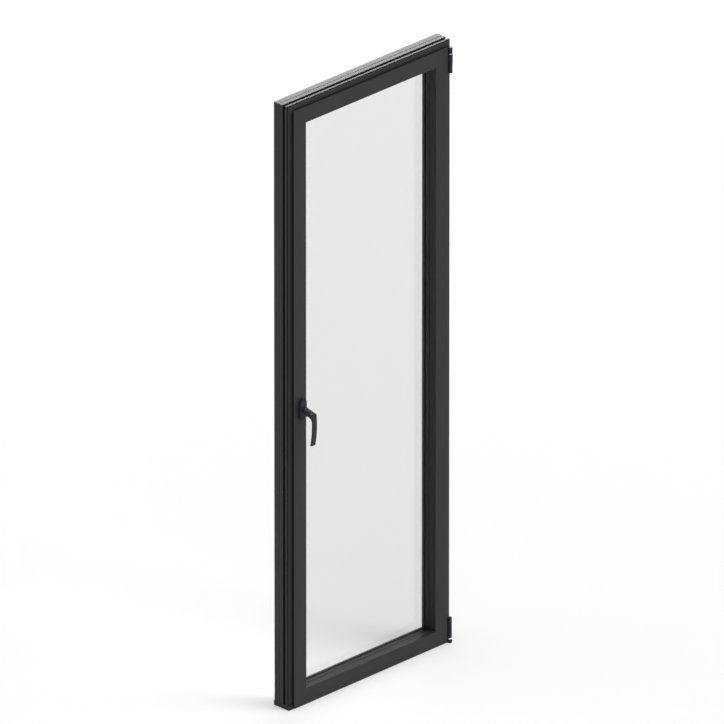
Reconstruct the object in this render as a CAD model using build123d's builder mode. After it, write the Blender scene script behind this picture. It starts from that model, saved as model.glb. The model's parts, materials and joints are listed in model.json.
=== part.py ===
from build123d import *
from math import sqrt
import os

# French window: one inward-opening leaf in a thermally broken aluminium frame.
# X runs to the right seen from the room, Y runs from the room to the outside, Z is up.
# The origin is on the underside of the threshold, at the middle of the frame.

# Overall sizes
frame_width = 750.0
frame_height = 2150.0
frame_depth = 62.0

# Frame profile, measured in from the outer side of the frame
frame_bar = 28.0
inner_shell_depth = 13.5
break_depth = 9.5
break_recess = 6.0
corner_notch = 3.5
outside_lip_reach = 50.0
outside_lip_thickness = 3.0
side_groove_width = 2.0
side_groove_depth = 1.0
side_groove_from_back = 23.0

# Threshold
threshold_height = 17.0
threshold_nosing = 3.0
threshold_upstand = 18.0
end_block_width = 20.0
end_block_nose = 4.0

# Clearances
leaf_gap = 6.0
fit_gap = 0.3

# Sash profile, measured in from the outer edge of its overlapping flap
frame_reveal = 20.0
sash_face = 56.0
flap_width = 20.0
flap_thickness = 3.0
sash_body_width = 18.0
sash_leg_depth = 28.0
sash_body_depth = 63.0
sash_break_depth = 10.0
sash_bottom_gap = 2.0
edge_round = 0.8

# Glazing
pane_thickness = 4.0
pane_cavity = 16.0
bead_slope = 3.0
bead_proud = 7.0
gasket_thickness = 3.0
gasket_reach = 11.0
gasket_proud = 0.6
glass_edge_gap = 5.0
spacer_width = 11.0

# Seals between leaf and frame
seal_width = 4.0
seal_inset = 1.5
outer_seal_inset = 2.0

# Hinges
hinge_axis_inset = 10.5
hinge_axis_stand_off = 9.0
barrel_radius = 7.5
barrel_swell = 0.8
barrel_swell_height = 33.0
hinge_pin_radius = 3.5
top_washer_height = 3.0
bottom_ball_height = 9.0
bottom_ball_radius = 5.5
bottom_ball_round = 3.0
arm_thickness = 3.0
arm_end_margin = 5.0
barrel_chamfer = 1.2
hinge_foot_width = 10.0
top_hinge_from_top = 23.0
top_hinge_sash_height = 21.5
top_hinge_frame_height = 65.0
bearing_below_threshold = 8.0
bearing_radius = 8.5
bottom_hinge_height = 72.0
pin_embedding = 15.0
bearing_pin_depth = 6.0
hinge_shell = 1.5
top_washer_round = 0.6

# Lock hardware on the edge of the leaf and on the jamb
faceplate_width = 20.0
faceplate_thickness = 2.0
faceplate_setback = 30.0
strike_thickness = 3.0
strike_length = 60.0
strike_count = 3

# Handle
handle_height = 1064.0
handle_from_side = 56.0
rose_height = 74.0
rose_width = 28.0
rose_thickness = 10.0
rose_edge = 2.5
neck_radius = 6.5
neck_seat = 5.0
neck_top = 7.4
neck_underside = 8.9
neck_sunk = 3.0
lever_start = 15.0
lever_stand_off = 59.8
lever_drop = 114.0
lever_width = 20.0
lever_thickness = 6.4
lever_edge_round = 2.2
bow_radius = 350.0
bow_middle = 42.0
shoulder_drop = 2.6
shoulder_round = 5.0
elbow_drop = 19.0
elbow_round = 15.0

# Planes across the depth
room_face = -frame_depth / 2
outside_face = frame_depth / 2
break_front = room_face + inner_shell_depth
break_back = break_front + break_depth
side_groove_y = outside_face - side_groove_from_back
lip_front = outside_face - outside_lip_thickness
flap_back = room_face - leaf_gap
sash_front = flap_back - flap_thickness
sash_back = sash_front + sash_body_depth
leg_back = sash_front + sash_leg_depth
sash_break_back = sash_back - sash_body_width
sash_break_front = sash_break_back - sash_break_depth

# Glass stack, from the room side outwards
inner_pane_front = leg_back + gasket_thickness
inner_pane_back = inner_pane_front + pane_thickness
outer_pane_front = inner_pane_back + pane_cavity
outer_pane_back = outer_pane_front + pane_thickness
bead_front = outer_pane_back + gasket_thickness
bead_back = sash_back + bead_proud

# Rectangle of the leaf and places across the sash profile
leaf_right = frame_width / 2 - frame_reveal
leaf_top = frame_height - frame_reveal
leaf_bottom = sash_bottom_gap
body_outer = flap_width
body_inner = body_outer + sash_body_width
glass_inset = body_inner + glass_edge_gap

# Hinge axis and heights
axis_x = frame_width / 2 - hinge_axis_inset
axis_y = room_face - hinge_axis_stand_off
top_hinge_top = frame_height - top_hinge_from_top
top_hinge_joint = top_hinge_top - top_hinge_sash_height
top_washer_bottom = top_hinge_joint - fit_gap - top_washer_height
top_frame_part_bottom = top_washer_bottom - top_hinge_frame_height
bearing_height = threshold_height - bearing_below_threshold
bottom_sash_part_bottom = bearing_height + bottom_ball_height + fit_gap
bottom_sash_part_top = bottom_sash_part_bottom + bottom_hinge_height

# Handle pivot
pivot_x = -(frame_width / 2 - handle_from_side)

os.makedirs("parts", exist_ok=True)


def save(part, name):
    """Label a finished piece and write it."""
    part.label = name
    export_step(part, f"parts/{name}.step")


def head_mitre(side, corner_x, corner_z):
    """Mitre plane through an upper corner: its positive side holds the upright."""
    return Plane(origin=(side * corner_x, 0, corner_z), z_dir=(side, 0, -1))


def foot_mitre(side, corner_x, corner_z):
    """Mitre plane through a lower corner: its positive side holds the upright."""
    return Plane(origin=(side * corner_x, 0, corner_z), z_dir=(side, 0, 1))


def upright(outline, side, edge_x, bottom, top, planes, rounded=()):
    """Vertical bar from an outline of (inset, y) points, cut by its mitre planes."""
    with BuildPart() as bar:
        with BuildSketch(Plane.XY.offset(bottom)) as section:
            with BuildLine():
                Polyline(*[(side * (edge_x - inset), y) for inset, y in outline], close=True)
            make_face()
            if rounded:
                corners = [v for v in section.vertices()
                           if any(abs(v.X - side * (edge_x - inset)) < 0.01 and abs(v.Y - y) < 0.01
                                  for inset, y in rounded)]
                fillet(corners, edge_round)
        extrude(amount=top - bottom)
        for plane in planes:
            split(bisect_by=plane, keep=Keep.TOP)
    return bar.part


def crossbar(outline, edge_z, direction, half_length, planes, rounded=()):
    """Horizontal bar from an outline of (inset, y) points; direction -1 builds down from a head."""
    start = Plane(origin=(-half_length, 0, edge_z), x_dir=(0, 1, 0), z_dir=(1, 0, 0))
    with BuildPart() as bar:
        with BuildSketch(start) as section:
            with BuildLine():
                Polyline(*[(y, direction * inset) for inset, y in outline], close=True)
            make_face()
            if rounded:
                corners = [v for v in section.vertices()
                           if any(abs(v.Z - edge_z - direction * inset) < 0.01 and abs(v.Y - y) < 0.01
                                  for inset, y in rounded)]
                fillet(corners, edge_round)
        extrude(amount=2 * half_length)
        for plane in planes:
            split(bisect_by=plane, keep=Keep.BOTTOM)
    return bar.part


def rectangle_bars(outline, edge_x, bottom, top, rounded=(), joint=0.0):
    """Four mitred bars around a rectangle, with an open joint of the given width."""
    heads = [head_mitre(side, edge_x, top) for side in (-1, 1)]
    feet = [foot_mitre(side, edge_x, bottom) for side in (-1, 1)]
    left_planes = [heads[0].offset(joint / 2), feet[0].offset(joint / 2)]
    right_planes = [heads[1].offset(joint / 2), feet[1].offset(joint / 2)]
    head_planes = [plane.offset(-joint / 2) for plane in heads]
    foot_planes = [plane.offset(-joint / 2) for plane in feet]
    return {
        "left": upright(outline, -1, edge_x, bottom, top, left_planes, rounded),
        "right": upright(outline, 1, edge_x, bottom, top, right_planes, rounded),
        "top": crossbar(outline, top, -1, edge_x, head_planes, rounded),
        "bottom": crossbar(outline, bottom, 1, edge_x, foot_planes, rounded),
    }


def ring(half_width, bottom, top, width, y_from, y_to):
    """Flat rectangular ring standing across the depth."""
    with BuildPart() as frame_ring:
        with BuildSketch(Plane.XZ.offset(-y_from)):
            with Locations((0, (bottom + top) / 2)):
                Rectangle(2 * half_width, top - bottom)
                Rectangle(2 * (half_width - width), top - bottom - 2 * width, mode=Mode.SUBTRACT)
        extrude(amount=y_from - y_to)
    return frame_ring.part


def sheet(half_width, bottom, top, y_from, y_to):
    """Flat rectangular sheet standing across the depth."""
    with BuildPart() as flat_sheet:
        with BuildSketch(Plane.XZ.offset(-y_from)):
            with Locations((0, (bottom + top) / 2)):
                Rectangle(2 * half_width, top - bottom)
        extrude(amount=y_from - y_to)
    return flat_sheet.part


# Frame: outer shell, thermal break and inner shell on two jambs and a head
outer_shell = [
    (0, break_back), (0, side_groove_y - side_groove_width / 2),
    (side_groove_depth, side_groove_y - side_groove_width / 2),
    (side_groove_depth, side_groove_y + side_groove_width / 2),
    (0, side_groove_y + side_groove_width / 2), (0, outside_face),
    (frame_bar, outside_face), (frame_bar, break_back),
]
thermal_break = [
    (break_recess, break_front), (break_recess, break_back),
    (frame_bar, break_back), (frame_bar, break_front),
]
inner_shell = [
    (0, room_face + corner_notch), (0, break_front), (frame_bar, break_front),
    (frame_bar, room_face), (corner_notch, room_face), (corner_notch, room_face + corner_notch),
]
head_planes = [head_mitre(side, frame_width / 2, frame_height) for side in (-1, 1)]
for layer, outline in (("outer_shell", outer_shell), ("thermal_break", thermal_break),
                       ("inner_shell", inner_shell)):
    for name, side in (("left", -1), ("right", 1)):
        jamb_plane = [head_mitre(side, frame_width / 2, frame_height)]
        jamb = upright(outline, side, frame_width / 2, threshold_height, frame_height, jamb_plane)
        save(jamb, f"frame_{name}_{layer}")
    head = crossbar(outline, frame_height, -1, frame_width / 2, head_planes)
    save(head, f"frame_head_{layer}")

# Outside flange of the frame: a flat lip on each bar that the leaf closes against
flange = [
    (frame_bar, lip_front), (frame_bar, outside_face),
    (outside_lip_reach, outside_face), (outside_lip_reach, lip_front),
]
flange_bars = []
for side, plane in zip((-1, 1), head_planes):
    flange_bars.append(upright(flange, side, frame_width / 2, threshold_height, frame_height,
                               [plane.offset(fit_gap / 2)]))
flange_bars.append(crossbar(flange, frame_height, -1, frame_width / 2,
                            [plane.offset(-fit_gap / 2) for plane in head_planes]))
save(Compound(children=flange_bars), "frame_outside_flange")

# Threshold: a low bar with a weather upstand behind the leaf, between two end blocks
threshold_back = outside_face + threshold_nosing
bar_half_width = frame_width / 2 - end_block_width
with BuildPart() as threshold:
    with BuildSketch(Plane.YZ.offset(-bar_half_width)):
        with BuildLine():
            Polyline(
                (room_face, 0), (threshold_back, 0),
                (threshold_back, threshold_height - threshold_nosing),
                (outside_face, threshold_height), (room_face, threshold_height), close=True,
            )
        make_face()
    extrude(amount=2 * bar_half_width)
    with BuildSketch(Plane.XY.offset(threshold_height)):
        with Locations((0, (lip_front + outside_face) / 2)):
            Rectangle(frame_width - 2 * outside_lip_reach, outside_lip_thickness)
    extrude(amount=threshold_upstand)
save(threshold.part, "threshold")
for name, side, block_front in (("left", -1, room_face - end_block_nose), ("right", 1, room_face)):
    with BuildPart() as end_block:
        with BuildSketch(Plane.XY):
            with Locations((side * (frame_width - end_block_width) / 2,
                            (block_front + threshold_back) / 2)):
                Rectangle(end_block_width, threshold_back - block_front)
        extrude(amount=threshold_height)
    save(end_block.part, f"threshold_end_block_{name}")

# Outer seal on the frame's lip, which the back of the leaf closes against
outer_seal = ring(
    frame_width / 2 - outside_lip_reach + outer_seal_inset + seal_width,
    threshold_height + threshold_upstand - outer_seal_inset - seal_width,
    frame_height - outside_lip_reach + outer_seal_inset + seal_width,
    seal_width, sash_back + fit_gap, lip_front,
)
save(outer_seal, "frame_outer_seal")

# Sash: inner shell with the glazing leg, outer shell, the break between them, and the flap
# that laps over the frame
sash_inner = [
    (body_outer, sash_front), (sash_face, sash_front), (sash_face, leg_back),
    (body_inner, leg_back), (body_inner, sash_break_front), (body_outer, sash_break_front),
]
flap = [
    (0, sash_front), (flap_width, sash_front), (flap_width, flap_back), (0, flap_back),
]
sash_outer = [
    (body_outer, sash_break_back), (body_inner, sash_break_back),
    (body_inner, sash_back), (body_outer, sash_back),
]
sash_break = [
    (body_outer, sash_break_front), (body_inner, sash_break_front),
    (body_inner, sash_break_back), (body_outer, sash_break_back),
]
bead = [
    (body_inner, bead_front), (sash_face, bead_front),
    (sash_face - bead_slope, bead_back), (body_inner, bead_back),
]
inner_bars = rectangle_bars(sash_inner, leaf_right, leaf_bottom, leaf_top,
                            rounded=[(sash_face, sash_front)])
outer_bars = rectangle_bars(sash_outer, leaf_right, leaf_bottom, leaf_top)
break_bars = rectangle_bars(sash_break, leaf_right, leaf_bottom, leaf_top)
bead_bars = rectangle_bars(bead, leaf_right, leaf_bottom, leaf_top)
flap_bars = rectangle_bars(flap, leaf_right, leaf_bottom, leaf_top,
                           rounded=[(0, sash_front)], joint=fit_gap)
save(Compound(children=list(flap_bars.values())), "sash_flap")
for place, member in (("left", "stile"), ("right", "stile"), ("top", "rail"), ("bottom", "rail")):
    save(Compound(children=[inner_bars[place], outer_bars[place]]), f"sash_{place}_{member}")
    save(break_bars[place], f"sash_{place}_thermal_break")
    save(bead_bars[place], f"glazing_bead_{place}")

# Double glazing: two panes on an edge spacer, between two gaskets
glass_half = leaf_right - glass_inset
glass_bottom = leaf_bottom + glass_inset
glass_top = leaf_top - glass_inset
save(sheet(glass_half, glass_bottom, glass_top, inner_pane_front, inner_pane_back), "glass_inner_pane")
save(sheet(glass_half, glass_bottom, glass_top, outer_pane_front, outer_pane_back), "glass_outer_pane")
save(ring(glass_half, glass_bottom, glass_top, spacer_width, inner_pane_back, outer_pane_front),
     "glass_edge_spacer")
gasket_edge = sash_face + gasket_proud - gasket_reach
for name, y_from, y_to in (("glazing_gasket_room_side", leg_back, inner_pane_front),
                           ("glazing_gasket_outside", outer_pane_back, bead_front)):
    gasket = ring(leaf_right - gasket_edge, leaf_bottom + gasket_edge, leaf_top - gasket_edge,
                  gasket_reach, y_from, y_to)
    save(gasket, name)


def arm_heights(bottom, top):
    """Lower and upper edge of a hinge arm on a barrel that runs from bottom to top."""
    return bottom + arm_end_margin, top - arm_end_margin


top_arm = arm_heights(top_hinge_joint, top_hinge_top)
bottom_arm = arm_heights(bottom_sash_part_bottom, bottom_sash_part_top)

# Inner seal behind the flap, interrupted where the hinge arms pass
with BuildPart() as sash_seal:
    with BuildSketch(Plane.XZ.offset(-flap_back)):
        with Locations((0, (leaf_bottom + leaf_top) / 2)):
            outer_size = (2 * (leaf_right - seal_inset), leaf_top - leaf_bottom - 2 * seal_inset)
            Rectangle(*outer_size)
            Rectangle(outer_size[0] - 2 * seal_width, outer_size[1] - 2 * seal_width,
                      mode=Mode.SUBTRACT)
        for arm_bottom, arm_top in (top_arm, bottom_arm):
            with Locations((leaf_right, (arm_bottom + arm_top) / 2)):
                Rectangle(2 * flap_width, arm_top - arm_bottom + 2 * fit_gap, mode=Mode.SUBTRACT)
    extrude(amount=flap_back - room_face + fit_gap)
save(sash_seal.part, "sash_inner_seal")


def sash_hinge_part(bottom, top, name):
    """Barrel on the hinge axis with an arm that grips the leaf behind its flap."""
    arm_bottom, arm_top = arm_heights(bottom, top)
    arm_end = leaf_right - body_outer
    with BuildPart() as hinge:
        with BuildSketch(Plane.XY.offset(bottom)):
            with Locations((axis_x, axis_y)):
                Circle(barrel_radius)
        extrude(amount=top - bottom)
        chamfer(hinge.edges().group_by(Axis.Z)[-1], barrel_chamfer)
        with BuildSketch(Plane.XY.offset(arm_bottom)):
            with Locations(((arm_end + axis_x) / 2, flap_back + arm_thickness / 2)):
                Rectangle(axis_x - arm_end, arm_thickness)
        extrude(amount=arm_top - arm_bottom)
        with BuildSketch(Plane.XY.offset(bottom)):
            with Locations((axis_x, axis_y)):
                Circle(hinge_pin_radius + fit_gap)
        extrude(amount=pin_embedding + fit_gap, mode=Mode.SUBTRACT)
    save(hinge.part, name)


def frame_hinge_part(bottom, top, radius, swell, swell_from, foot_width, foot_top, pin_depth, name):
    """Barrel on the hinge axis with a foot on the face of the frame."""
    with BuildPart() as hinge:
        with BuildSketch(Plane.XY.offset(bottom)):
            with Locations((axis_x, axis_y)):
                Circle(radius)
        extrude(amount=top - bottom)
        if swell:
            with BuildSketch(Plane.XY.offset(swell_from)):
                with Locations((axis_x, axis_y)):
                    Circle(radius + swell)
            extrude(amount=top - swell_from)
        with BuildSketch(Plane.XY.offset(bottom)):
            with Locations((axis_x, (axis_y + room_face) / 2)):
                Rectangle(foot_width, room_face - axis_y)
        extrude(amount=foot_top - bottom)
        with BuildSketch(Plane.XY.offset(top)):
            with Locations((axis_x, axis_y)):
                Circle(hinge_pin_radius + fit_gap)
        extrude(amount=-(pin_depth + fit_gap), mode=Mode.SUBTRACT)
        if foot_top > top:
            with BuildSketch(Plane.XY.offset(top)):
                with Locations((axis_x, axis_y)):
                    Circle(bearing_radius - hinge_shell)
            extrude(amount=foot_top - top, mode=Mode.SUBTRACT)
    save(hinge.part, name)


def hinge_pin(collar_bottom, collar_height, collar_radius, collar_round, pin_depth, name):
    """Bright pin with the collar that the leaf bears on."""
    with BuildPart() as pin:
        with BuildSketch(Plane.XY.offset(collar_bottom)):
            with Locations((axis_x, axis_y)):
                Circle(collar_radius)
        extrude(amount=collar_height)
        fillet(pin.edges().filter_by(GeomType.CIRCLE), collar_round)
        with BuildSketch(Plane.XY.offset(collar_bottom - pin_depth)):
            with Locations((axis_x, axis_y)):
                Circle(hinge_pin_radius)
        extrude(amount=pin_depth + collar_height + pin_embedding)
    save(pin.part, name)


# Hinges: the leaf's parts stand on the frame's parts
sash_hinge_part(top_hinge_joint, top_hinge_top, "top_hinge_sash_part")
frame_hinge_part(
    top_frame_part_bottom, top_washer_bottom, barrel_radius, barrel_swell,
    top_washer_bottom - barrel_swell_height, hinge_foot_width, top_washer_bottom,
    pin_embedding, "top_hinge_frame_part",
)
hinge_pin(top_washer_bottom, top_washer_height, barrel_radius - barrel_chamfer,
          top_washer_round, pin_embedding, "top_hinge_pin")
sash_hinge_part(bottom_sash_part_bottom, bottom_sash_part_top, "bottom_hinge_sash_part")
frame_hinge_part(
    0, bearing_height, bearing_radius, 0, 0, 2 * bearing_radius, threshold_height,
    bearing_pin_depth, "bottom_hinge_bearing",
)
hinge_pin(bearing_height, bottom_ball_height, bottom_ball_radius,
          bottom_ball_round, bearing_pin_depth, "bottom_hinge_pin")

# Lock faceplate down the opening edge of the leaf, and its strike plates on the jamb
lock_y = (flap_back + sash_break_front) / 2
leaf_edge_x = -(leaf_right - body_outer)
with BuildPart() as faceplate:
    with BuildSketch(Plane.XY.offset(leaf_bottom + body_outer + faceplate_setback)):
        with Locations((leaf_edge_x - faceplate_thickness / 2, lock_y)):
            Rectangle(faceplate_thickness, faceplate_width)
    extrude(amount=leaf_top - leaf_bottom - 2 * (body_outer + faceplate_setback))
save(faceplate.part, "lock_faceplate")

jamb_inner_x = -(frame_width / 2 - frame_bar)
leaf_height = leaf_top - leaf_bottom
with BuildPart() as strikes:
    for strike in range(strike_count):
        middle = leaf_bottom + leaf_height * (strike + 0.5) / strike_count
        with BuildSketch(Plane.XY.offset(middle - strike_length / 2)):
            with Locations((jamb_inner_x + strike_thickness / 2, lock_y)):
                Rectangle(strike_thickness, faceplate_width)
        extrude(amount=strike_length)
save(strikes.part, "strike_plates")

# Handle: an upright rose on the stile, and the lever that turns in it
with BuildPart() as rose:
    with BuildSketch(Plane.XZ.offset(-sash_front)):
        with Locations((pivot_x, handle_height)):
            SlotOverall(rose_height, rose_width, rotation=90)
    extrude(amount=rose_thickness)
    fillet(rose.faces().sort_by(Axis.Y)[0].edges(), rose_edge)
    with BuildSketch(Plane.XZ.offset(-sash_front + rose_thickness)):
        with Locations((pivot_x, handle_height)):
            Circle(neck_radius + fit_gap)
    extrude(amount=-neck_seat, mode=Mode.SUBTRACT)
save(rose.part, "handle_rose")



def bow(drop, inset=0.0):
    """Point on the lever's bowed outer face, or as far inside it as the inset."""
    radius = bow_radius - inset
    reach = lever_stand_off - bow_radius + sqrt(radius ** 2 - (drop - bow_middle) ** 2)
    return reach, drop


# The lever's side view, drawn outwards from the leaf and down from the pivot, has its full width
lever_plane = Plane(origin=(pivot_x, sash_front, handle_height), x_dir=(0, -1, 0), z_dir=(1, 0, 0))
shoulder, tip = bow(shoulder_drop), bow(lever_drop)
elbow, heel = bow(elbow_drop, lever_thickness), bow(lever_drop, lever_thickness)
neck_start = rose_thickness - neck_seat + fit_gap
with BuildPart() as lever:
    with BuildSketch(lever_plane) as side_view:
        with BuildLine():
            Polyline(elbow, (lever_start, neck_underside), (lever_start, -neck_top), shoulder)
            ThreePointArc(shoulder, bow(bow_middle), tip)
            Line(tip, heel)
            ThreePointArc(heel, bow(bow_middle, lever_thickness), elbow)
        make_face()
        for corner, radius in ((shoulder, shoulder_round), (elbow, elbow_round)):
            fillet(side_view.vertices().sort_by_distance(corner)[0], radius)
    extrude(amount=lever_width / 2, both=True)
    sides = lever.faces().sort_by(Axis.X)
    fillet(sides[0].edges() + sides[-1].edges(), lever_edge_round)
    with BuildSketch(Plane.XZ.offset(-sash_front + neck_start)):
        with Locations((pivot_x, handle_height)):
            Circle(neck_radius)
    extrude(amount=lever_start + neck_sunk - neck_start)
save(lever.part, "handle_lever")
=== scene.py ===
# %% [markdown]
# A french window in anthracite aluminium
#
# One tall glazed leaf hangs on the right of a slim frame and opens into the room. The construction
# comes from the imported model: every bar, pane and hinge is already there at its real size. This
# lesson dresses it. We soften the edges as an extrusion press and a coat of powder would, give each
# surface a finish that has its own grain, and light the whole as a still life on pale ground.

# %% Load the construction
import bpy
import bmesh
import json
import math
from mathutils import Matrix, Vector


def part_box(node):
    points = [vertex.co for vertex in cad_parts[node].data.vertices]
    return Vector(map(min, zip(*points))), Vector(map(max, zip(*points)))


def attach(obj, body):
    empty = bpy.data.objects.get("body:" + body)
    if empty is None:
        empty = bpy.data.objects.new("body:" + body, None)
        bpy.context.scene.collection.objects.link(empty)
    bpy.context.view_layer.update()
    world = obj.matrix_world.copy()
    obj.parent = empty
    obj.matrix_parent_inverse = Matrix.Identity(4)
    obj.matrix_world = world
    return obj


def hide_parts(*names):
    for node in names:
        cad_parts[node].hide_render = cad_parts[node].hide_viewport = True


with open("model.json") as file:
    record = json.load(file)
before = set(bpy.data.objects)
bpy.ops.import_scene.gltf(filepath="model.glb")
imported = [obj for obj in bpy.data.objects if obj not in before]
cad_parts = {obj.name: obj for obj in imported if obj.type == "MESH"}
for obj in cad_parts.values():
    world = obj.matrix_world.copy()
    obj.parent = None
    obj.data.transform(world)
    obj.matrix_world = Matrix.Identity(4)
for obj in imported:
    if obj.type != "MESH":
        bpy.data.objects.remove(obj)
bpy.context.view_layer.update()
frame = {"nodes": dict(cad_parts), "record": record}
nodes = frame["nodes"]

print(len(nodes), "pieces of construction loaded")

# %% [markdown]
# Measures read from the construction
#
# The leaf and the frame are built from long bars with one section, cut at 45 degrees in the corners.
# To dress them we need only a handful of planes: where the room face is, where the flap starts, how
# far in the glass sits. We read them from the boxes of the pieces instead of typing them, so that the
# dressing still fits if the window is made wider.

# %% Planes of the window
MM = 0.001


def span(name, axis):
    """Lowest and highest coordinate of a piece along one axis."""
    low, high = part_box(name)
    return low["xyz".index(axis)], high["xyz".index(axis)]


leaf_left, leaf_right = span("sash_flap", "x")
leaf_bottom, leaf_top = span("sash_flap", "z")
sash_front, flap_back = span("sash_flap", "y")
sash_back = span("sash_left_stile", "y")[1]
face_width = span("sash_left_stile", "x")[1] - leaf_left
flap_width = span("sash_left_stile", "x")[0] - leaf_left
leg_back = span("glazing_gasket_room_side", "y")[0]
break_front, break_back = span("sash_left_thermal_break", "y")
body_inner = span("sash_left_thermal_break", "x")[1] - leaf_left
print(f"leaf {(leaf_right - leaf_left) / MM:.0f} x {(leaf_top - leaf_bottom) / MM:.0f} mm")
print(f"leaf face {face_width / MM:.0f} mm, flap {flap_width / MM:.0f} mm")

# %% Planes of the frame
frame_left, frame_right = span("frame_head_outer_shell", "x")
frame_top = span("frame_head_outer_shell", "z")[1]
jamb_foot = span("frame_left_inner_shell", "z")[0]
room_face, shell_back = span("frame_left_inner_shell", "y")
frame_bar = span("frame_left_inner_shell", "x")[1] - frame_left
print(f"frame {(frame_right - frame_left) / MM:.0f} mm wide, {frame_top / MM:.0f} mm tall")

# %% [markdown]
# A small kit for finishes
#
# A finish is a chain of shader nodes. A few helpers keep the chains short: one adds a node and
# connects its inputs, one makes noise that is fixed to the object, one maps a value to a range. The
# pieces all sit in one frame, so object coordinates are metres in that frame, and a grain of a tenth
# of a millimetre is simply a noise with a scale of some thousands.

# %% Node helpers
def add_node(material, kind, inputs=None, **settings):
    """Add a shader node, choose its settings and connect or set its inputs."""
    node = material.node_tree.nodes.new(kind)
    for key, value in settings.items():
        setattr(node, key, value)
    for key, value in (inputs or {}).items():
        if isinstance(value, bpy.types.NodeSocket):
            material.node_tree.links.new(value, node.inputs[key])
        else:
            node.inputs[key].default_value = value
    return node


def join(material, output, node, socket):
    """Connect an output to an input of a node."""
    material.node_tree.links.new(output, node.inputs[socket])


def new_finish(name):
    """Start a material with its shader, and return it with its coordinates."""
    material = bpy.data.materials.new(name)
    material.use_nodes = True
    material.node_tree.nodes.clear()
    shader = add_node(material, "ShaderNodeBsdfPrincipled")
    output = add_node(material, "ShaderNodeOutputMaterial")
    join(material, shader.outputs["BSDF"], output, "Surface")
    coords = add_node(material, "ShaderNodeTexCoord").outputs["Object"]
    return material, shader, coords


# %% Grain helpers
def noise(material, coords, scale, detail=3.0, stretch=(1, 1, 1)):
    """Noise fixed to the object; a stretch below 1 draws the grain out along that axis."""
    mapping = add_node(material, "ShaderNodeMapping", {"Vector": coords, "Scale": stretch})
    texture = add_node(material, "ShaderNodeTexNoise",
                       {"Vector": mapping.outputs["Vector"], "Scale": scale, "Detail": detail})
    return texture.outputs["Fac"]


def spread(material, value, low, high, start=0.3, end=0.7):
    """Map a value that runs from start to end onto low to high."""
    mapped = add_node(material, "ShaderNodeMapRange",
                      {"Value": value, "From Min": start, "From Max": end,
                       "To Min": low, "To Max": high})
    return mapped.outputs["Result"]


def tint(material, amount, first, second):
    """A colour between two, given as colours or as sockets."""
    mix = add_node(material, "ShaderNodeMix", data_type="RGBA")
    join(material, amount, mix, "Factor")
    for socket, colour in ((6, first), (7, second)):
        if isinstance(colour, bpy.types.NodeSocket):
            join(material, colour, mix, socket)
        else:
            mix.inputs[socket].default_value = (*colour, 1)
    return mix.outputs[2]


def scaled(colour, factor):
    """A colour made lighter or darker."""
    return tuple(min(1.0, channel * factor) for channel in colour)


def add_bump(material, shader, height, strength, depth):
    """Let a height raise the surface by up to a depth."""
    bump = add_node(material, "ShaderNodeBump",
                    {"Height": height, "Strength": strength, "Distance": depth})
    join(material, bump.outputs["Normal"], shader, "Normal")


# %% [markdown]
# Powder coat on the profiles
#
# The profiles are extruded aluminium with a baked powder coat in a matt anthracite. Close up the coat
# is not flat: the powder flows into a fine orange peel, and a finer grain sits on top of it. The
# colour hardly varies, so the grain goes into bump and roughness, and the colour drifts by only a few
# percent. Along the edges the colour is painted lighter: a painted highlight for the light that
# rounded edges catch. We find the edges by comparing the surface's own normal with a rounded one:
# where the two differ, an edge is near.

# %% Powder coat
CLOUD_SCALE = 6.0
PEEL_SCALE = 520.0
GRAIN_SCALE = 2600.0
PEEL_HEIGHT = 0.03 * MM
# The painted edge highlight: how far in from an edge it reaches, how strong it is, and how much
# lighter it makes the coat.
HIGHLIGHT_REACH = 0.9 * MM
HIGHLIGHT_AMOUNT = 0.4
HIGHLIGHT_LIFT = 1.7


def painted_edge_highlight(material):
    """0 on the faces of a piece, rising along its edges: the mask of a painted highlight."""
    rounded = add_node(material, "ShaderNodeBevel", {"Radius": HIGHLIGHT_REACH}, samples=4)
    own = add_node(material, "ShaderNodeNewGeometry")
    likeness = add_node(material, "ShaderNodeVectorMath", operation="DOT_PRODUCT")
    join(material, rounded.outputs["Normal"], likeness, 0)
    join(material, own.outputs["Normal"], likeness, 1)
    return spread(material, likeness.outputs["Value"], HIGHLIGHT_AMOUNT, 0.0, start=0.85, end=0.99)


def powder_coat(name, colour, gloss=0.46, drift=0.05, specular=0.2):
    """A baked coat with orange peel, fine grain and edges painted lighter as a highlight."""
    material, shader, coords = new_finish(name)
    clouds = noise(material, coords, CLOUD_SCALE, detail=4.0)
    peel = noise(material, coords, PEEL_SCALE, detail=2.0)
    grain = noise(material, coords, GRAIN_SCALE, detail=2.0)
    coat = tint(material, spread(material, clouds, 0.0, 1.0),
                scaled(colour, 1 - drift), scaled(colour, 1 + drift))
    # Edges are painted lighter than the coat: a painted highlight, not wear.
    highlighted_coat = tint(material, painted_edge_highlight(material), coat, scaled(colour, HIGHLIGHT_LIFT))
    join(material, highlighted_coat, shader, "Base Color")
    join(material, spread(material, peel, gloss - 0.04, gloss + 0.06), shader, "Roughness")
    height = add_node(material, "ShaderNodeMath", operation="ADD")
    join(material, peel, height, 0)
    join(material, spread(material, grain, 0.0, 0.4, 0.0, 1.0), height, 1)
    add_bump(material, shader, height.outputs[0], 0.06, PEEL_HEIGHT)
    shader.inputs["Specular IOR Level"].default_value = specular
    return material


# %% Four coats
ANTHRACITE = (0.0233, 0.0241, 0.0262)
BLUE_BLACK = (0.0100, 0.0108, 0.0150)
GRAPHITE = (0.0190, 0.0200, 0.0255)
profile_coat = powder_coat("anthracite_powder_coat", ANTHRACITE)
threshold_coat = powder_coat("threshold_powder_coat", ANTHRACITE, gloss=0.5, drift=0.12)
hinge_coat = powder_coat("hinge_satin_coat", BLUE_BLACK, gloss=0.42, specular=0.25)
handle_coat = powder_coat("handle_satin_coat", GRAPHITE, specular=0.18)
print("powder coats ready")

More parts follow.
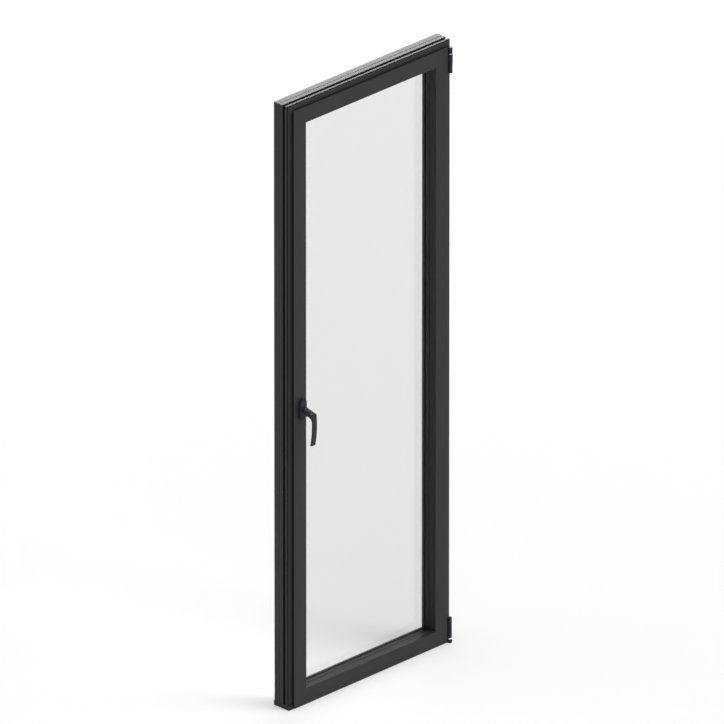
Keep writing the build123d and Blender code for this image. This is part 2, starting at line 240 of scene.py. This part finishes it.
# %% [markdown]
# Plastic, rubber and steel
#
# Around the coated bars sit quieter materials: black polyamide in the thermal breaks, drawn along the
# bar by the extruder, and matt rubber seals with a dull bloom. The lock has plated steel, brushed
# along its length, and on the hinge pins the turning tool leaves fine rings. One recipe makes each
# family. Its stretch draws the grain out along a bar, or closes it up into rings round a pin.

# %% Plastic and rubber
ALONG_Z = (1, 1, 0.03)
BLOOM_SCALE = 14.0
BLOOM_SHINE = 1.7


def moulded(name, colour, roughness, scale=900.0, stretch=(1, 1, 1)):
    """Plastic or rubber with a fine grain and a dull bloom."""
    material, shader, coords = new_finish(name)
    grain = noise(material, coords, scale, stretch=stretch)
    clouds = noise(material, coords, BLOOM_SCALE)
    join(material, tint(material, spread(material, clouds, 0.0, 1.0),
                        colour, scaled(colour, BLOOM_SHINE)), shader, "Base Color")
    join(material, spread(material, grain, roughness - 0.08, roughness + 0.08),
         shader, "Roughness")
    add_bump(material, shader, grain, 0.25, 0.04 * MM)
    shader.inputs["Specular IOR Level"].default_value = 0.25
    return material


polyamide = moulded("black_polyamide", (0.0040, 0.0040, 0.0045), roughness=0.6, stretch=ALONG_Z)
rubber = moulded("black_seal_rubber", (0.0105, 0.0105, 0.0108), roughness=0.6)
block_plastic = moulded("end_block_plastic", (0.0110, 0.0120, 0.0160), roughness=0.5, scale=700.0)
print("plastic and rubber ready")

# %% Plated steel
ROUND_A_PIN = (1, 1, 12)
LINE_SCALE = 1400.0
STAIN_SCALE = 40.0
STAIN_SHADE = 0.8


def plated(name, colour, roughness, stretch):
    """Plated steel with fine lines, left by the brush or the turning tool."""
    material, shader, coords = new_finish(name)
    lines = noise(material, coords, LINE_SCALE, detail=4.0, stretch=stretch)
    clouds = noise(material, coords, STAIN_SCALE)
    join(material, tint(material, spread(material, clouds, 0.0, 1.0),
                        scaled(colour, STAIN_SHADE), colour), shader, "Base Color")
    join(material, spread(material, lines, roughness - 0.06, roughness + 0.1),
         shader, "Roughness")
    add_bump(material, shader, lines, 0.15, 0.02 * MM)
    shader.inputs["Metallic"].default_value = 1.0
    return material


bright_steel = plated("bright_pin_steel", (0.82, 0.83, 0.85), roughness=0.22, stretch=ROUND_A_PIN)
lock_steel = plated("lock_plate_steel", (0.60, 0.61, 0.63), roughness=0.34, stretch=ALONG_Z)
print("steel ready")

# %% [markdown]
# The spacer between the panes
#
# A bar of thin metal keeps the two panes apart. Its face towards the sealed space has a row of tiny
# holes, through which a drying powder takes up the last moisture. They are far too small to model one
# by one, so a pattern of cells makes them. The middle of each cell is a dark dot that is also sunk in
# the bump. A hole's edge is given as a share of the pitch.

# %% Spacer bar
HOLE_PITCH = 2.4 * MM
HOLE_EDGE = (0.16, 0.24)
HOLE_BLACK = (0.004, 0.004, 0.004)
SPACER_GREY = (0.035, 0.035, 0.037)
spacer_metal, shader, coords = new_finish("spacer_bar_metal")
holes = add_node(spacer_metal, "ShaderNodeTexVoronoi",
                 {"Vector": coords, "Scale": 1 / HOLE_PITCH, "Randomness": 0.15})
dots = spread(spacer_metal, holes.outputs["Distance"], 0.0, 1.0, *HOLE_EDGE)
join(spacer_metal, tint(spacer_metal, dots, HOLE_BLACK, SPACER_GREY), shader, "Base Color")
join(spacer_metal, spread(spacer_metal, noise(spacer_metal, coords, 300.0), 0.42, 0.58),
     shader, "Roughness")
add_bump(spacer_metal, shader, dots, 0.5, 0.3 * MM)
shader.inputs["Metallic"].default_value = 0.6
print("spacer ready")

# %% [markdown]
# Glass
#
# Each pane is a real sheet four millimetres thick, so a refracting shader gives the double
# reflections of a sealed unit for nothing. Refraction alone would cast a black shadow, because light
# that bends is too hard to find. The usual answer is to let shadow rays pass straight through a
# surface that is almost clear, and that is what the light path test does. A faint waviness and a few
# wiped smears keep the sheet from looking like empty air.

# %% Float glass
PANE_TINT = (0.880, 0.883, 0.882)
SHADOW_LIFT = 1.12
GLASS_IOR = 1.5
WAVE_SCALE = 3.5
SMEAR_SCALE = 9.0


def float_glass(name, colour):
    """Clear glass that lets shadow rays through."""
    material, shader, coords = new_finish(name)
    add_bump(material, shader, noise(material, coords, WAVE_SCALE, detail=1.0), 0.02, 0.2 * MM)
    smears = noise(material, coords, SMEAR_SCALE, detail=5.0, stretch=(1, 1, 0.4))
    join(material, spread(material, smears, 0.0, 0.01), shader, "Roughness")
    shader.inputs["Base Color"].default_value = (*colour, 1)
    shader.inputs["IOR"].default_value = GLASS_IOR
    shader.inputs["Transmission Weight"].default_value = 1.0
    clear = add_node(material, "ShaderNodeBsdfTransparent",
                     {"Color": (*scaled(colour, SHADOW_LIFT), 1)})
    path = add_node(material, "ShaderNodeLightPath")
    either = add_node(material, "ShaderNodeMixShader")
    output = next(n for n in material.node_tree.nodes if n.type == "OUTPUT_MATERIAL")
    join(material, path.outputs["Is Shadow Ray"], either, 0)
    join(material, shader.outputs["BSDF"], either, 1)
    join(material, clear.outputs["BSDF"], either, 2)
    join(material, either.outputs["Shader"], output, "Surface")
    return material


pane_glass = float_glass("float_glass", PANE_TINT)
print("glass ready")

# %% [markdown]
# Soft edges on pressed and turned parts
#
# No extrusion has a perfectly sharp corner, and a coat of powder rounds it further. The solids of the
# construction are exact but sharp, so each one gets a dressed copy. We merge the triangles of every
# flat face, bevel the long sharp edges, and then nick the edges of the mitre cuts much less, because
# a crimped corner closes to a hairline. The copy stands for the solid, which stays in the model for
# contact.

# %% Pieces and their shading
body_of_node = {n: body for body, members in frame["record"]["behaviour"]["bodies"].items()
                for n in members}
print(len(body_of_node), "pieces of construction ride on bodies")


def finish_mesh(piece, material, smooth_angle=40.0):
    """Give a piece its material, and smooth shading that keeps flat faces flat."""
    piece.data.materials.clear()
    piece.data.materials.append(material)
    piece.data.polygons.foreach_set("use_smooth", [True] * len(piece.data.polygons))
    piece.data.set_sharp_from_angle(angle=math.radians(smooth_angle))
    weighted = piece.modifiers.new("weighted", "WEIGHTED_NORMAL")
    weighted.keep_sharp = True


def new_piece(name, mesh, material, body, stands_for=(), smooth_angle=40.0):
    """Link a mesh as a piece that rides on a body and stands for some solids."""
    piece = bpy.data.objects.new(name, mesh)
    bpy.context.scene.collection.objects.link(piece)
    finish_mesh(piece, material, smooth_angle)
    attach(piece, body)
    if stands_for:
        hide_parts(*stands_for)
    return piece


# %% Softened copies
HAIRLINE = 0.12 * MM
MERGE_DISTANCE = 0.002 * MM
FLAT_ANGLE = math.radians(1.0)
CUT_ANGLE = math.radians(20.0)
SHARP_ANGLE = math.radians(32.0)
ALIGNED = 0.01


def is_mitre(face):
    """True for a face cut at 45 degrees between X and Z."""
    x, y, z = (abs(part) for part in face.normal)
    return abs(x - z) < ALIGNED and y < ALIGNED


def soften(name, radius, material, segments=2):
    """Make a copy of a solid with rounded edges, which stands for it."""
    mesh = nodes[name].data.copy()
    shape = bmesh.new()
    shape.from_mesh(mesh)
    bmesh.ops.remove_doubles(shape, verts=shape.verts, dist=MERGE_DISTANCE)
    bmesh.ops.dissolve_limit(shape, angle_limit=FLAT_ANGLE, verts=shape.verts, edges=shape.edges)
    sharp = [e for e in shape.edges if e.is_manifold and e.calc_face_angle() > SHARP_ANGLE]
    long_edges = [e for e in sharp if not any(is_mitre(face) for face in e.link_faces)]
    bmesh.ops.bevel(shape, geom=long_edges, offset=radius, segments=segments, profile=0.5,
                    affect="EDGES", clamp_overlap=True)
    folded = [e for e in shape.edges if e.is_manifold and e.calc_face_angle() > CUT_ANGLE]
    cuts = [e for e in folded if any(is_mitre(face) for face in e.link_faces)]
    if cuts:
        bmesh.ops.bevel(shape, geom=cuts, offset=HAIRLINE, segments=1, affect="EDGES",
                        clamp_overlap=True)
    shape.to_mesh(mesh)
    shape.free()
    mesh.name = name + "_soft"
    new_piece(name + "_soft", mesh, material, body_of_node[name], [name])


# %% Frame and threshold
for bar in ("left", "right", "head"):
    soften(f"frame_{bar}_outer_shell", 0.8 * MM, profile_coat)
soften("frame_outside_flange", 0.5 * MM, profile_coat)
soften("threshold", 0.6 * MM, threshold_coat)
for end in ("left", "right"):
    soften(f"threshold_end_block_{end}", 0.8 * MM, block_plastic)
print("frame and threshold softened")

# %% [markdown]
# Bars drawn in one piece
#
# The construction keeps the leaf's flap apart from its stiles and rails, for the sake of contact. On
# the real leaf both are one extrusion, so here each bar is drawn again in one piece. Its section is a
# closed outline of insets from the outer edge, and each point of the section runs to the mitre by
# exactly its own inset. That is all a 45 degree mitre is. Corners of the section become small arcs.

# %% Section with rounded corners
ARC_STEPS = 4


def rounded_section(points):
    """Points of a section; a third value in a point rounds that corner by an arc."""
    section = []
    for i, point in enumerate(points):
        corner = Vector(point[:2])
        if len(point) == 2:
            section.append(corner)
            continue
        before = (Vector(points[i - 1][:2]) - corner).normalized() * point[2]
        after = (Vector(points[(i + 1) % len(points)][:2]) - corner).normalized() * point[2]
        centre = corner + before + after
        for k in range(ARC_STEPS + 1):
            turn = k / ARC_STEPS * math.pi / 2
            section.append(centre - after * math.cos(turn) - before * math.sin(turn))
    return section


# %% Mitred bar
def mitred_bar(name, side, section, rectangle, foot=None):
    """Mesh of a bar along one side of a rectangle; a foot cuts uprights off square."""
    left, right, bottom, top = rectangle
    gap = HAIRLINE / 3

    def ends(inset):
        low = bottom + inset + gap if foot is None else foot
        return {
            "left": ((left + inset, low), (left + inset, top - inset - gap)),
            "right": ((right - inset, low), (right - inset, top - inset - gap)),
            "top": ((left + inset + gap, top - inset), (right - inset - gap, top - inset)),
            "bottom": ((left + inset + gap, low - gap), (right - inset - gap, low - gap)),
        }[side]

    shape = bmesh.new()
    rings = [[], []]
    for point in section:
        for ring, (x, z) in zip(rings, ends(point.x)):
            ring.append(shape.verts.new((x, point.y, z)))
    for i in range(len(section)):
        j = (i + 1) % len(section)
        shape.faces.new((rings[0][i], rings[0][j], rings[1][j], rings[1][i]))
    caps = [shape.faces.new(ring) for ring in rings]
    cap_edges = [edge for cap in caps for edge in cap.edges]
    bmesh.ops.bevel(shape, geom=cap_edges, offset=HAIRLINE, segments=1, affect="EDGES",
                    clamp_overlap=True)
    bmesh.ops.recalc_face_normals(shape, faces=shape.faces)
    mesh = bpy.data.meshes.new(name)
    shape.to_mesh(mesh)
    shape.free()
    return mesh


# %% Leaf bars
leaf_rectangle = (leaf_left, leaf_right, leaf_bottom, leaf_top)
room_section = rounded_section([
    (0, sash_front, 0.8 * MM), (face_width, sash_front, 0.8 * MM),
    (face_width, leg_back, 0.4 * MM), (body_inner, leg_back), (body_inner, break_front),
    (flap_width, break_front, 0.3 * MM), (flap_width, flap_back, 0.3 * MM),
    (0, flap_back, 0.4 * MM),
])
outside_section = rounded_section([
    (flap_width, break_back, 0.3 * MM), (body_inner, break_back), (body_inner, sash_back),
    (flap_width, sash_back, 0.6 * MM),
])
for side, member in (("left", "stile"), ("right", "stile"), ("top", "rail"), ("bottom", "rail")):
    for shell, section in (("room", room_section), ("outside", outside_section)):
        name = f"leaf_{side}_{shell}_shell"
        stands_for = [f"sash_{side}_{member}"] + (["sash_flap"] if shell == "room" else [])
        new_piece(name, mitred_bar(name, side, section, leaf_rectangle), profile_coat,
                  "leaf", stands_for)
    soften(f"glazing_bead_{side}", 0.4 * MM, profile_coat)
print("leaf bars drawn")

# %% [markdown]
# The frame's inner shell
#
# Seen from the room, the frame's outer corner has a fine dark line: a stepped notch with a slot at its
# root, where a cover strip can be clipped on. Its shadow is what the eye sees, so the slot is real
# depth here and not a painted stripe. The lip above the slot slopes a little, and the far edge is well
# rounded, so that only a narrow part of the shell catches the light on top of the head. The outline
# is tucked in by two thousandths of a millimetre, because a bevel at a mitre can push a point out by
# less than that, and the frame must keep its size.

# %% Inner shells with the clip slot
NOTCH = 3.5 * MM
SLOT_WIDTH = 3.0 * MM
SLOT_DEPTH = 6.0 * MM
CORNER_ROUND = 1.5 * MM
BACK_ROUND = 4.6 * MM
LIP_SLOPE = 4.4 * MM
LIP_DROP = 0.35 * MM
TUCK = 0.002 * MM
notch_back = room_face + NOTCH
frame_rectangle = (frame_left + TUCK, frame_right - TUCK, jamb_foot, frame_top - TUCK)
inner_shell_section = rounded_section([
    (0, notch_back + LIP_SLOPE), (LIP_DROP, notch_back), (NOTCH - SLOT_WIDTH, notch_back),
    (NOTCH - SLOT_WIDTH, notch_back + SLOT_DEPTH), (NOTCH, notch_back + SLOT_DEPTH),
    (NOTCH, room_face, CORNER_ROUND), (frame_bar, room_face, 0.4 * MM),
    (frame_bar, shell_back, 0.3 * MM), (0, shell_back, BACK_ROUND),
])
for bar, side in (("left", "left"), ("right", "right"), ("head", "top")):
    name = f"frame_{bar}_inner_bar"
    mesh = mitred_bar(name, side, inner_shell_section, frame_rectangle, foot=jamb_foot)
    new_piece(name, mesh, profile_coat, "frame", [f"frame_{bar}_inner_shell"])
print("inner shells drawn")

# %% [markdown]
# Hinges, lock and handle
#
# The hinges are turned barrels with pressed arms, the rose is a cast cover, and the pins are bright
# where they show. Their solids are true, so they get softened copies with a fine radius and their own
# coats. The handle's lever is already rounded in the construction and only needs its coat.

# %% Hardware
for name in ("top_hinge_frame_part", "top_hinge_sash_part", "bottom_hinge_sash_part",
             "bottom_hinge_bearing"):
    soften(name, 0.4 * MM, hinge_coat)
for name in ("top_hinge_pin", "bottom_hinge_pin"):
    soften(name, 0.25 * MM, bright_steel)
for name in ("lock_faceplate", "strike_plates"):
    soften(name, 0.3 * MM, lock_steel)
soften("handle_rose", 0.25 * MM, handle_coat)
finish_mesh(nodes["handle_lever"], handle_coat)
print("hardware dressed")

# %% [markdown]
# Panes, seals and breaks
#
# The panes, the spacer and the thermal breaks keep their solids and only get their materials. The
# seals are squeezed rubber, so theirs are rounded until hardly a flat is left.

# %% Glazing and seals
for name in ("glass_inner_pane", "glass_outer_pane"):
    finish_mesh(nodes[name], pane_glass)
finish_mesh(nodes["glass_edge_spacer"], spacer_metal)
for name in nodes:
    if "thermal_break" in name:
        finish_mesh(nodes[name], polyamide)
for name in ("glazing_gasket_room_side", "glazing_gasket_outside"):
    soften(name, 0.25 * MM, rubber)
for name in ("frame_outer_seal", "sash_inner_seal"):
    soften(name, 1.4 * MM, rubber, segments=3)
print("glazing and seals dressed")

# %% [markdown]
# Screws in the lock plates
#
# With the leaf open, the plates of the lock come into view, and nothing says lock plate like its
# countersunk screws. Each is a low dome with a cross sunk into it. We stack rings of 24 points: three
# round ones for the dome, then the outline of the cross at the top and again, smaller, at the bottom
# of the recess. Every ring is bridged to the next, so the dome and the recess close by themselves.

# %% Outlines of a screw head
RING = 24


def round_outline(radius):
    """24 points on a circle."""
    turns = [math.tau / RING * (k - 1) for k in range(RING)]
    return [Vector((radius * math.cos(turn), radius * math.sin(turn))) for turn in turns]


def cross_outline(arm, half_width):
    """24 points round a cross: its 12 corners and the middles between them."""
    corners = []
    for quarter in range(4):
        turn = Matrix.Rotation(quarter * math.pi / 2, 2)
        for point in ((arm, -half_width), (arm, half_width), (half_width, half_width)):
            corners.append(turn @ Vector(point))
    outline = []
    for corner, following in zip(corners, corners[1:] + corners[:1]):
        outline += [corner, (corner + following) / 2]
    return outline


# %% Screw head
SCREW_RADIUS = 3.6 * MM
SCREW_RISE = 0.5 * MM
RECESS = 0.9 * MM
CROSS_MOUTH = (2.1 * MM, 0.45 * MM)
CROSS_FLOOR = (1.2 * MM, 0.35 * MM)
SCREW_PROFILE = [
    (round_outline(SCREW_RADIUS), -0.2 * MM), (round_outline(SCREW_RADIUS), 0.1 * MM),
    (round_outline(0.78 * SCREW_RADIUS), SCREW_RISE),
    (cross_outline(*CROSS_MOUTH), SCREW_RISE),
    (cross_outline(*CROSS_FLOOR), SCREW_RISE - RECESS),
]


def add_screw(shape, x, y, z, facing):
    """Add a domed head with a sunk cross, facing along plus or minus X."""
    rings = [[shape.verts.new((x + facing * rise, y + facing * point.x, z + point.y))
              for point in outline] for outline, rise in SCREW_PROFILE]
    for lower, upper in zip(rings, rings[1:]):
        for i in range(RING):
            j = (i + 1) % RING
            shape.faces.new((lower[i], lower[j], upper[j], upper[i]))
    shape.faces.new(rings[0][::-1])
    shape.faces.new(rings[-1])


# %% Screws set out on the plates
def lock_screws(name, plate, body, facing, heights):
    """A row of screws on the face of a plate."""
    face = span(plate, "x")[0 if facing < 0 else 1]
    middle = sum(span(plate, "y")) / 2
    shape = bmesh.new()
    for z in heights:
        add_screw(shape, face, middle, z, facing)
    mesh = bpy.data.meshes.new(name)
    shape.to_mesh(mesh)
    shape.free()
    piece = new_piece(name, mesh, lock_steel, body, smooth_angle=30.0)


SCREW_MARGIN = 14 * MM
FACEPLATE_SCREWS = 6
STRIKE_PLATES = 3
STRIKE_SCREW_OFFSET = 20 * MM
plate_low, plate_high = span("lock_faceplate", "z")
step = (plate_high - plate_low - 2 * SCREW_MARGIN) / (FACEPLATE_SCREWS - 1)
lock_screws("faceplate_screws", "lock_faceplate", "leaf", -1,
            [plate_low + SCREW_MARGIN + i * step for i in range(FACEPLATE_SCREWS)])
strike_middles = [leaf_bottom + (leaf_top - leaf_bottom) * (i + 0.5) / STRIKE_PLATES
                  for i in range(STRIKE_PLATES)]
lock_screws("strike_screws", "strike_plates", "frame", 1,
            [middle + side * STRIKE_SCREW_OFFSET for middle in strike_middles for side in (-1, 1)])
print("screws set out")

# %% [markdown]
# The pale ground
#
# The window stands on pale ground that runs out to white. The camera, and the glass and gloss that
# look at the ground for it, see a steady white glow with the lit part added on top, so the ground
# stays white and still darkens where the window keeps the light off it. Every other ray meets plain
# pale paper, which sends a natural amount of light back up.

# %% Rays that look at the ground
def seen_directly(owner):
    """1 for rays of the camera, and for rays through glass or off gloss."""
    path = add_node(owner, "ShaderNodeLightPath")
    either = add_node(owner, "ShaderNodeMath", operation="MAXIMUM")
    join(owner, path.outputs["Is Glossy Ray"], either, 0)
    join(owner, path.outputs["Is Transmission Ray"], either, 1)
    seen = add_node(owner, "ShaderNodeMath", operation="MAXIMUM")
    join(owner, path.outputs["Is Camera Ray"], seen, 0)
    join(owner, either.outputs[0], seen, 1)
    return seen.outputs[0]


# %% Ground
scene = bpy.context.scene
scene.view_settings.view_transform = "Standard"
GROUND_RADIUS = 40.0
ground_mesh = bpy.data.meshes.new("ground")
shape = bmesh.new()
bmesh.ops.create_circle(shape, cap_ends=True, segments=96, radius=GROUND_RADIUS)
shape.to_mesh(ground_mesh)
shape.free()
ground = bpy.data.objects.new("ground", ground_mesh)
scene.collection.objects.link(ground)

# %% Paper of the ground
WHITE = (1, 1, 1, 1)
PAPER_WHITE = (0.86, 0.86, 0.86, 1)
GROUND_GLOW = 0.34
GROUND_SHADE = (0.66, 0.66, 0.66, 1)
paper = bpy.data.materials.new("pale_ground")
paper.use_nodes = True
paper.node_tree.nodes.clear()
plain = add_node(paper, "ShaderNodeBsdfDiffuse", {"Color": PAPER_WHITE})
faint = add_node(paper, "ShaderNodeBsdfDiffuse", {"Color": GROUND_SHADE})
glow = add_node(paper, "ShaderNodeEmission", {"Color": WHITE, "Strength": GROUND_GLOW})
glowing = add_node(paper, "ShaderNodeAddShader")
join(paper, faint.outputs[0], glowing, 0)
join(paper, glow.outputs[0], glowing, 1)
blend = add_node(paper, "ShaderNodeMixShader")
join(paper, seen_directly(paper), blend, 0)
join(paper, plain.outputs[0], blend, 1)
join(paper, glowing.outputs[0], blend, 2)
output = add_node(paper, "ShaderNodeOutputMaterial")
join(paper, blend.outputs[0], output, "Surface")
ground_mesh.materials.append(paper)
print("ground laid")

# %% [markdown]
# Sky and soft boxes
#
# An even sky keeps both visible sides at about the same value. A small soft box hangs close behind
# and above the head. Every face that looks up near the top mirrors it at a low angle, which turns the
# top of the frame light grey, while the handle and the sill look past it and stay dark. A faint fill
# far behind lifts the sill by a little.

# %% Sky
SKY_LEVEL = 0.66
sky = bpy.data.worlds.new("sky")
scene.world = sky
sky.use_nodes = True
sky.node_tree.nodes.clear()
level = add_node(sky, "ShaderNodeMapRange",
                 {"Value": seen_directly(sky), "To Min": SKY_LEVEL, "To Max": 1.0})
air = add_node(sky, "ShaderNodeBackground", {"Color": WHITE, "Strength": level.outputs["Result"]})
output = add_node(sky, "ShaderNodeOutputWorld")
join(sky, air.outputs[0], output, "Surface")
print("sky at", SKY_LEVEL)


# %% Soft boxes
def soft_light(name, place, aim, size, radiance, spread_angle=180.0):
    """A wide area light of a given brightness that the camera doesn't see."""
    lamp = bpy.data.lights.new(name, "AREA")
    lamp.shape = "RECTANGLE"
    lamp.size, lamp.size_y = size
    lamp.energy = radiance * math.pi * size[0] * size[1]
    lamp.spread = math.radians(spread_angle)
    light = bpy.data.objects.new(name, lamp)
    scene.collection.objects.link(light)
    light.location = place
    light.rotation_euler = (Vector(aim) - Vector(place)).to_track_quat("-Z", "Y").to_euler()
    light.visible_camera = False


TO_BOX = Vector((0.83, 0.83, 0.62))
TO_FILL = Vector((5.0, 5.0, 2.4))
head = Vector((0, 0, frame_top))
middle = Vector((0, 0, frame_top / 2))
soft_light("box_behind_head", head + TO_BOX, head, size=(1.4, 0.9), radiance=1.5,
           spread_angle=75.0)
soft_light("fill_behind", middle + TO_FILL, middle, size=(4.0, 3.0), radiance=0.8)
print("soft boxes at", [round(c, 2) for c in head + TO_BOX], [round(c, 2) for c in middle + TO_FILL])

# %% [markdown]
# The key
#
# The key is a far lamp with a wide disc. It shines from the right, so the window's soft shadow runs
# left along the ground, and the ground itself stays even, because a far lamp doesn't fade with
# distance. We keep it out of reflections, where it would only put a glare on the handle.

# %% Key from the right
KEY_ENERGY = 1.4
KEY_DISC = math.radians(32.0)
KEY_DIRECTION = Vector((-0.55, 0.83, -0.95))
key = bpy.data.objects.new("key_right", bpy.data.lights.new("key_right", "SUN"))
scene.collection.objects.link(key)
key.data.energy = KEY_ENERGY
key.data.angle = KEY_DISC
key.rotation_euler = KEY_DIRECTION.to_track_quat("-Z", "Y").to_euler()
key.visible_glossy = False
print("key shines along", [round(c, 2) for c in KEY_DIRECTION])

# %% [markdown]
# Camera
#
# The photograph is nearly a parallel view, so the camera stands more than a hundred metres away with
# a very long lens. Upright lines then stay upright. It stands to the front left of the window, so it
# sees the room side and the left side, and it looks down by about 25 degrees.

# %% Camera far away
VIEW_TURN = math.radians(-45.47)
VIEW_RISE = math.radians(24.84)
DISTANCE = 110.7
AIM = Vector((-0.0008, 0.0008, 1.1129))
LENS = 1700.0
SENSOR = 36.0
FAR_END = 400.0
camera = bpy.data.objects.new("camera", bpy.data.cameras.new("camera"))
scene.collection.objects.link(camera)
camera.data.lens = LENS
camera.data.sensor_width = SENSOR
camera.data.clip_end = FAR_END
away = Vector((math.sin(VIEW_TURN) * math.cos(VIEW_RISE),
               -math.cos(VIEW_TURN) * math.cos(VIEW_RISE), math.sin(VIEW_RISE)))
camera.location = AIM + away * DISTANCE
camera.rotation_euler = (-away).to_track_quat("-Z", "Y").to_euler()
scene.camera = camera
print("camera at", [round(c, 2) for c in camera.location])
